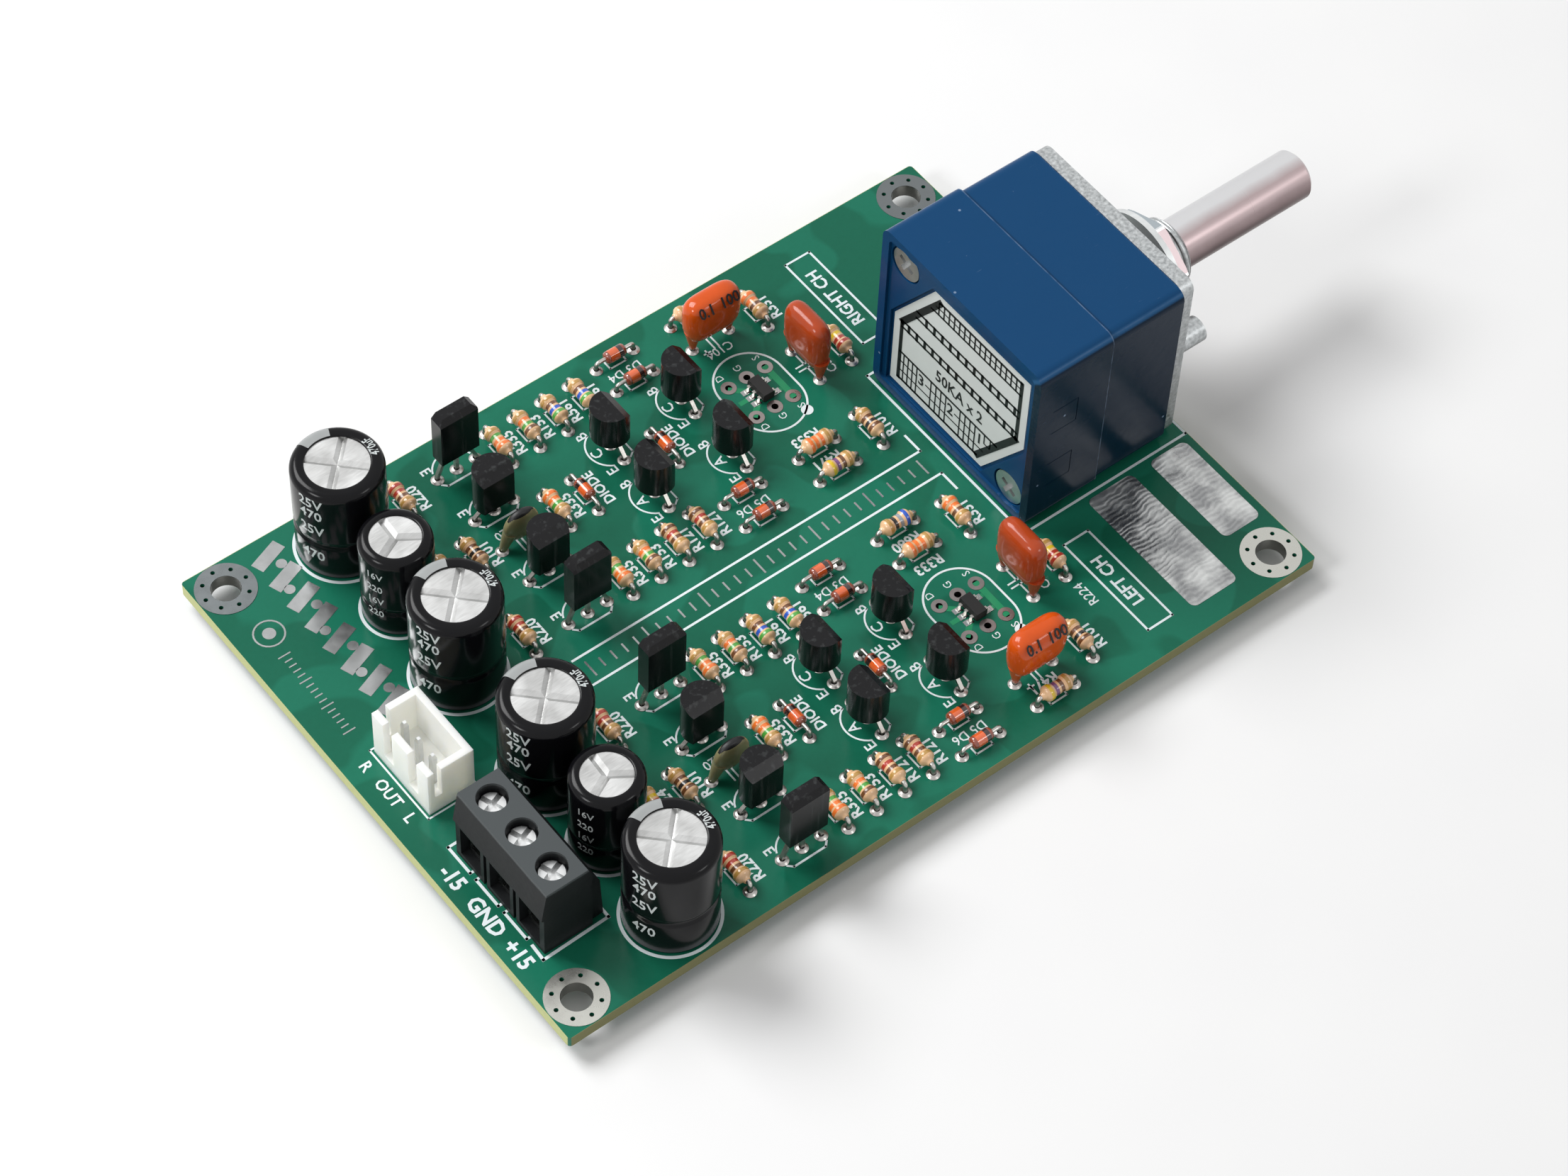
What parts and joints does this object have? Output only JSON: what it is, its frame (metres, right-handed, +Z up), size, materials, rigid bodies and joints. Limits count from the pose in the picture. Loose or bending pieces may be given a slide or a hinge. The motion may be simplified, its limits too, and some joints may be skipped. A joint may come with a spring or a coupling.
{
  "type": "audio preamplifier board",
  "caption": "Stereo preamplifier circuit board with mirrored discrete channels, a screw terminal block, an output header and a dual volume control with a long plain shaft.",
  "frame": {"origin": "centre of the four mounting holes, on the underside of the board", "axes": "+X along the board and the volume shaft, outwards; +Z up from the board to its parts"},
  "size_m": [0.126, 0.07, 0.0289],
  "materials": {
    "board_green": "glossy solder mask",
    "tinned": "tinned copper",
    "solder": "bright solder",
    "resistor_tan": "glossy lacquer",
    "lead": "tinned wire",
    "diode_glass": "glass",
    "black_mould": "moulded epoxy",
    "orange_dip": "dipped epoxy",
    "brown_dip": "dipped epoxy",
    "olive_dip": "dipped epoxy",
    "can_aluminium": "bare drawn aluminium",
    "sleeve_black": "shrunk sleeve",
    "seal_rubber": "rubber bung",
    "header_white": "white nylon",
    "block_black": "matt moulded plastic",
    "plated_steel": "plated",
    "zinc": "cast zinc",
    "case_blue": "glossy moulded plastic",
    "label_white": "printed label",
    "wafer_brown": "laminate",
    "track_black": "carbon track",
    "shaft_steel": "turned",
    "rotor_white": "moulded plastic",
    "wiper_brass": "spring bronze"
  },
  "bodies": {
    "board": {"circuit_board": "board_green", "mounting_lands": "tinned", "tinned_panels": "tinned", "adapter_pads": "tinned", "chip_lands": "tinned", "solder_joints": "solder", "connector_joints": "solder", "resistor_bodies": "resistor_tan", "resistor_leads": "lead", "signal_diode_bodies": "diode_glass", "signal_diode_leads": "lead", "bias_diode_bodies": "diode_glass", "bias_diode_leads": "lead", "small_transistors": "black_mould", "small_transistor_legs": "lead", "driver_transistors": "black_mould", "driver_legs": "lead", "output_transistors": "black_mould", "output_legs": "lead", "input_fets": "black_mould", "input_fet_legs": "lead", "input_capacitors": "orange_dip", "input_capacitor_leads": "lead", "filter_capacitors": "brown_dip", "filter_capacitor_leads": "lead", "ceramic_capacitors": "olive_dip", "ceramic_leads": "lead", "reservoir_cans": "can_aluminium", "reservoir_sleeves": "sleeve_black", "coupling_cans": "can_aluminium", "coupling_sleeves": "sleeve_black", "can_seals": "seal_rubber", "can_leads": "lead", "header_shell": "header_white", "header_pins": "lead", "terminal_block": "block_black", "terminal_contacts": "plated_steel", "front_plate": "zinc", "front_case": "case_blue", "rear_case": "case_blue", "rear_cover": "case_blue", "rating_label": "label_white", "case_screws": "plated_steel", "element_wafers": "wafer_brown", "resistance_tracks": "track_black", "control_tags": "plated_steel", "washer": "plated_steel", "nut": "plated_steel"},
    "volume_shaft": {"shaft": "shaft_steel", "shaft_clip": "plated_steel", "rotors": "rotor_white", "wipers": "wiper_brass"},
    "screw_1": {"clamp_screw_1": "plated_steel"},
    "clamp_1": {"wire_clamp_1": "plated_steel"},
    "screw_2": {"clamp_screw_2": "plated_steel"},
    "clamp_2": {"wire_clamp_2": "plated_steel"},
    "screw_3": {"clamp_screw_3": "plated_steel"},
    "clamp_3": {"wire_clamp_3": "plated_steel"}
  },
  "joints": [
    {"name": "volume_turn", "type": "hinge", "parent": "board", "child": "volume_shaft", "pos_m": [0.0487, 0, 0.0148], "axis": [1, 0, 0], "range_deg": [-150, 150]},
    {"name": "screw_1_turn", "type": "hinge", "parent": "board", "child": "screw_1", "pos_m": [-0.0432, -0.01282, 0.01], "axis": [0, 0, -1], "range_deg": [0, 1600]},
    {"name": "clamp_1_rise", "type": "slide", "parent": "board", "child": "clamp_1", "axis": [0, 0, 1], "range_m": [0, 0.002]},
    {"name": "screw_2_turn", "type": "hinge", "parent": "board", "child": "screw_2", "pos_m": [-0.0432, -0.0179, 0.01], "axis": [0, 0, -1], "range_deg": [0, 1600]},
    {"name": "clamp_2_rise", "type": "slide", "parent": "board", "child": "clamp_2", "axis": [0, 0, 1], "range_m": [0, 0.002]},
    {"name": "screw_3_turn", "type": "hinge", "parent": "board", "child": "screw_3", "pos_m": [-0.0432, -0.02298, 0.01], "axis": [0, 0, -1], "range_deg": [0, 1600]},
    {"name": "clamp_3_rise", "type": "slide", "parent": "board", "child": "clamp_3", "axis": [0, 0, 1], "range_m": [0, 0.002]}
  ],
  "couplings": [
    {"joint": "screw_1_turn", "follows": "clamp_1_rise", "rad_per_m": 13962},
    {"joint": "screw_2_turn", "follows": "clamp_2_rise", "rad_per_m": 13962},
    {"joint": "screw_3_turn", "follows": "clamp_3_rise", "rad_per_m": 13962}
  ]
}
